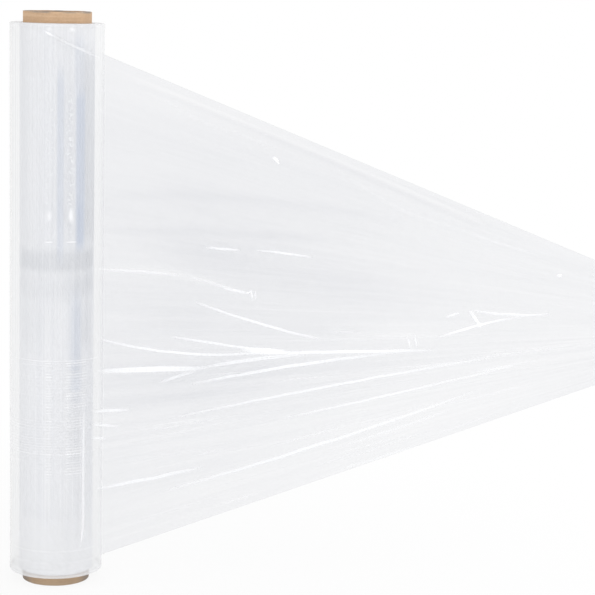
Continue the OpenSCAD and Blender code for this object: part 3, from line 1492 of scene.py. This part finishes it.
    def hazes(self) -> list[Haze]:
        """Lists the web's clouds: denser in the middle, clearer to the edges and the end.

        Returns:
            The clouds.
        """
        return [
            Haze(0.28, 0.62, 0.22, 0.20, 0.16), Haze(0.28, 0.37, 0.20, 0.07, 0.26),
            Haze(0.50, 0.60, 0.16, 0.10, 0.12), Haze(0.30, 0.00, 0.50, 0.20, -0.34),
            Haze(0.75, 0.15, 0.30, 0.30, -0.26), Haze(0.45, 1.00, 0.60, 0.06, -0.22),
            Haze(1.00, 0.60, 0.40, 0.60, -0.26), Haze(0.62, 0.46, 0.10, 0.04, -0.20),
            Haze(0.15, 0.90, 0.15, 0.25, -0.12), Haze(0.31, 0.345, 0.09, 0.06, 0.20),
            Haze(0.27, 0.655, 0.07, 0.035, 0.18), Haze(0.20, 0.50, 0.07, 0.04, 0.20),
            Haze(0.25, 0.775, 0.06, 0.03, 0.16),
        ]

    def streaks(self) -> list[Streak]:
        """Lists the web's streaks along its pull and along its hem.

        Returns:
            The streaks.
        """
        return [
            Streak((33.5, 350.0), 347.5, (312.0, 328.0), 5.0, 0.22),
            Streak((38.0, 320.5), 318.0, (241.5, 312.0), 4.0, 0.28),
            Streak((61.5, 450.5), 390.0, (383.5, 323.0), 2.5, 0.28),
            Streak((61.5, 455.5), 395.0, (383.5, 328.0), 2.0, -0.30),
            Streak((80.0, 452.0), 388.5, (400.0, 326.0), 1.6, 0.24),
            Streak((33.5, 285.0), 281.0, (167.5, 263.0), 3.5, -0.30),
        ]

    def top(self, s: float) -> float:
        """Height of the web's upper edge at a distance along it."""
        end = Roll.foot + self.end_middle + self.end_width / 2
        return between(Roll.top - self.top_drop, end, s / Roll.reach)

    def low(self, s: float) -> float:
        """Height of the web's lower edge at a distance along it."""
        end = Roll.foot + self.end_middle - self.end_width / 2
        return between(Roll.foot + self.foot_rise, end, s / Roll.reach)

    def across(self, share: float) -> float:
        """Place across the web of a row, with rows crowded at the pleats."""
        return share - self.crowding * math.sin(math.tau * (share - self.crowd_shift))

    def relief(self, s: float, z: float, pleats: Sequence[Pleat]) -> float:
        """Works out how far the web stands off its plane, towards the camera.

        Args:
            s: Distance along the web.
            z: Height of the place.
            pleats: The pleats that lift the web.

        Returns:
            The distance.
        """
        x_mm, z_mm = s / MM, (z - Roll.foot) / MM
        v = (z - self.low(s)) / (self.top(s) - self.low(s))
        lift = sum(pleat.lift_at(x_mm, z_mm) for pleat in pleats)
        pull = eased(s / Roll.reach)
        wave = noise.noise(Vector((s * 2.5, v * 11.0, 3.1)))
        gather = noise.noise(Vector((s * 3.0, v * 34.0, 8.4)))
        lift += (wave * self.wave_mm + gather * self.gather_mm) * pull
        lift += wave * self.start_wave_mm * eased(s / 0.06)
        return lift * MM * eased((s + 0.002) / 0.03)

    def point(self, s: float, z: float, off: float,
              pleats: Sequence[Pleat]) -> Vector:
        """A point of the web.

        Args:
            s: Distance along the web, below 0 where it lies on the roll.
            z: Height of the point.
            off: How far it stands off the web's middle, towards the camera.
            pleats: The pleats that lift the web.

        Returns:
            The point in the part's frame.
        """
        r = Roll.film_r + self.proud + self.relief(s, z, pleats) + off
        turn = min(s, 0.0) / Roll.film_r
        return Vector((r * math.sin(turn) if s < 0 else s, -r * math.cos(turn), z))

    def place(self, flat: Vector) -> tuple[float, float]:
        """Finds where a vertex of the grid lies on the web.

        Args:
            flat: A vertex of the grid, each of whose sides runs from -0.5 to 0.5.

        Returns:
            Distance along the web and share across it.
        """
        start = -Roll.film_r * self.lap_angle
        column = (flat.x + 0.5) / self.lap_share
        if column < 1.0:
            return start * (1 - column), self.across(flat.y + 0.5)
        out = (flat.x + 0.5 - self.lap_share) / (1 - self.lap_share)
        return Roll.reach * out, self.across(flat.y + 0.5)

    def strip(self, bm: bmesh.types.BMesh, pleat: Pleat,
              lifts: Sequence[Pleat]) -> None:
        """Adds one pleat as a closed, tapering strip that shows on both faces.

        A grid is rolled up round the pleat's course, and both its ends close to
        a point.

        Args:
            bm: The mesh that takes the strip.
            pleat: The pleat that it draws.
            lifts: The pleats that lift the web.
        """
        uv = bm.loops.layers.uv["web"]
        white = bm.verts.layers.float[PLEAT_GLINT_LAYER]
        sides = len(self.pleat_section)
        grid = bmesh.ops.create_grid(bm, x_segments=self.pleat_steps, y_segments=sides,
                                     size=0.5)["verts"]
        for vert in grid:
            t = round((vert.co.x + 0.5) * self.pleat_steps) / self.pleat_steps
            across, depth = self.pleat_section[round((vert.co.y + 0.5) * sides) % sides]
            full = pleat.full(t)
            # Painted glint: the strip's outer faces show as strongly as its pleat glints.
            shown = pleat.glint * max(1.3 * full - 0.3, 0.0)
            vert[white] = shown if abs(depth) == 1 else 0.0
            x, z = pleat.place(t)
            aside, up = pleat.normal(t)
            half = across * pleat.width * self.pleat_spread * full ** 0.8
            x, z = x + aside * half, z + up * half
            off = depth * (self.thickness / 2 + self.pleat_depth) if full else 0.0
            vert.co = self.point(x * MM, Roll.foot + z * MM, off, lifts)
            for loop in vert.link_loops:
                loop[uv].uv = (x * MM, (across + 1) / 2)
        bmesh.ops.remove_doubles(bm, verts=grid, dist=1e-6)

    def build_pleats(self, pleats: Sequence[Pleat], lifts: Sequence[Pleat]) -> None:
        """Models the pleats and puts them in place of the film's node.

        Args:
            pleats: All pleats.
            lifts: The pleats that lift the web.
        """
        bm = bmesh.new()
        bm.loops.layers.uv.new("web")
        bm.verts.layers.float.new(PLEAT_GLINT_LAYER)
        for pleat in pleats:
            self.strip(bm, pleat, lifts)
        bmesh.ops.recalc_face_normals(bm, faces=bm.faces)
        piece = finish_mesh("web_pleats", bm, smooth=False)
        dress(piece, self.pleat_finish.material(), Slot.FILM)
        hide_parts("film")

    def film(self, lifts: Sequence[Pleat]) -> bpy.types.Object:
        """Models the drawn film as one thin sheet.

        Args:
            lifts: The pleats that lift it.

        Returns:
            The sheet.
        """
        bm = bmesh.new()
        bmesh.ops.create_grid(bm, x_segments=self.columns, y_segments=self.rows,
                              size=0.5)
        uv = bm.loops.layers.uv.new("web")
        dense = bm.verts.layers.float.new(DENSE_LAYER)
        hazes, streaks = self.hazes(), self.streaks()
        for vert in bm.verts:
            s, v = self.place(vert.co)
            z = between(self.low(s), self.top(s), v)
            cloud = sum(haze.at(s / Roll.reach, v) for haze in hazes)
            cloud += sum(run.at(s / MM, (z - Roll.foot) / MM) for run in streaks)
            vert[dense] = max(1 + cloud, 0.1)
            vert.co = self.point(s, z, 0.0, lifts)
            for loop in vert.link_loops:
                loop[uv].uv = (s / Roll.reach, v)
        bmesh.ops.recalc_face_normals(bm, faces=bm.faces)
        piece = finish_mesh("drawn_web", bm)
        shell = piece.modifiers.new("thickness", "SOLIDIFY")
        shell.thickness = self.thickness
        shell.offset = 0.0
        return piece

    def build(self) -> bpy.types.Object:
        """Models the web with its pleats and puts it in place of the film's node.

        Returns:
            The web.
        """
        pleats = self.pleats()
        lifts = [pleat for pleat in pleats if pleat.lift > self.lifting_mm]
        piece = self.film(lifts)
        dress(piece, self.finish.material(), Slot.FILM)
        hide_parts("film")
        self.build_pleats(pleats, lifts)
        return piece


# Studio


def seen_ray(s: Shade) -> Socket:
    """Finds the rays that show the background: to the eye, in gloss and through glass.

    Args:
        s: The tree's helper.

    Returns:
        A value of 1 for those rays, else 0.
    """
    path = s.add("ShaderNodeLightPath").outputs
    return s.math("MAXIMUM", path["Is Camera Ray"],
                  s.math("MAXIMUM", path["Is Glossy Ray"], path["Is Transmission Ray"]))


@dataclass(frozen=True)
class Lamp:
    """A soft box, aimed at the roll."""

    name: str
    place: Triple
    size: tuple[float, float]
    power: float
    aim: Triple = (0.1, 0.0, 0.27)

    def hang(self) -> None:
        """Adds the lamp to the scene."""
        data = bpy.data.lights.new(self.name, "AREA")
        data.shape = "RECTANGLE"
        data.size, data.size_y = self.size
        data.energy = self.power
        lamp = bpy.data.objects.new(self.name, data)
        lamp.location = self.place
        way = Vector(self.aim) - Vector(self.place)
        lamp.rotation_euler = way.to_track_quat("-Z", "Y").to_euler()
        lamp.visible_camera = False
        bpy.context.scene.collection.objects.link(lamp)


@dataclass(frozen=True)
class Studio:
    """A white floor and surround with soft lamps."""

    ambient: float = 0.77
    floor_size: float = 3.0
    floor_white: float = 0.92
    shadow_share: float = 0.13
    shadow_from: float = 0.10
    shadow_to: float = 0.70
    lamps: tuple[Lamp, ...] = (
        Lamp("left_box", (-0.90, -2.20, 0.70), (0.40, 1.8), 8.0),
        Lamp("right_box", (1.35, -2.15, 0.70), (0.40, 1.8), 8.0),
        Lamp("side_box", (1.50, 0.50, 0.90), (1.0, 1.4), 5.4),
        Lamp("flank_box", (-1.50, -0.40, 0.60), (0.7, 1.6), 1.9),
    )

    def surround(self) -> None:
        """White to the eye and in gloss, soft light on everything else."""
        world = bpy.data.worlds.new("white_surround")
        bpy.context.scene.world = world
        world.use_nodes = True
        s = Shade(world.node_tree)
        back = s.add("ShaderNodeBackground")
        s.plug(back.inputs["Color"], (1.0, 1.0, 1.0))
        s.plug(back.inputs["Strength"], s.rerange(seen_ray(s), 0.0, 1.0, self.ambient,
                                                  1.0, smooth=False))
        s.plug(s.add("ShaderNodeOutputWorld").inputs["Surface"], back.outputs[0])

    def floor(self) -> None:
        """A white floor that shows the roll's shadow and fades out around it."""
        bm = bmesh.new()
        bmesh.ops.create_grid(bm, x_segments=2, y_segments=2, size=self.floor_size)
        piece = finish_mesh("floor", bm)
        material, s = new_material("white_floor")
        matt = s.add("ShaderNodeBsdfDiffuse")
        matt.inputs["Color"].default_value = (*(self.floor_white,) * 3, 1.0)
        open_air = s.add("ShaderNodeBsdfTransparent")
        away = s.add("ShaderNodeVectorMath", operation="LENGTH")
        s.plug(away.inputs[0], s.object_point())
        near = s.rerange(away.outputs["Value"], self.shadow_from, self.shadow_to,
                         self.shadow_share, 0.0)
        share = s.math("MAXIMUM", near, s.math("SUBTRACT", 1.0, seen_ray(s)))
        mix = s.add("ShaderNodeMixShader")
        s.plug(mix.inputs[0], share)
        s.plug(mix.inputs[1], open_air.outputs[0])
        s.plug(mix.inputs[2], matt.outputs[0])
        s.plug(s.add("ShaderNodeOutputMaterial").inputs["Surface"], mix.outputs[0])
        piece.data.materials.append(material)

    def light(self) -> None:
        """Sets up the surround, the floor and the lamps."""
        self.surround()
        self.floor()
        for lamp in self.lamps:
            lamp.hang()


@dataclass(frozen=True)
class Eye:
    """The camera, which looks across the roll from in front of it."""

    distance: float = 1.800
    height: float = 0.555
    heading: float = math.radians(6.98)
    dip: float = math.radians(9.15)
    tilt: float = math.radians(1.29)
    lens: float = 120.58

    def place(self) -> None:
        """Adds the camera and makes it the scene's."""
        look = Vector((math.sin(self.heading) * math.cos(self.dip),
                       math.cos(self.heading) * math.cos(self.dip),
                       -math.sin(self.dip)))
        right = Vector((math.cos(self.heading), -math.sin(self.heading), 0.0))
        up = right.cross(look)
        side = right * math.cos(self.tilt) + up * math.sin(self.tilt)
        crown = up * math.cos(self.tilt) - right * math.sin(self.tilt)
        data = bpy.data.cameras.new("eye")
        data.lens = self.lens
        camera = bpy.data.objects.new("eye", data)
        turn = Matrix((side, crown, -look)).transposed().to_4x4()
        camera.matrix_world = Matrix.Translation((0.0, -self.distance, self.height)) @ turn
        bpy.context.scene.collection.objects.link(camera)
        bpy.context.scene.camera = camera


def main() -> None:
    """Builds and dresses every piece, then the studio."""
    logging.basicConfig(level=logging.INFO, format="%(name)s %(message)s")
    bpy.context.scene.view_settings.view_transform = "Standard"
    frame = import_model()
    Roll.read(frame)
    Eye().place()
    Core().build()
    Winding().build()
    Web().build()
    Studio().light()


if __name__ == "__main__":
    main()
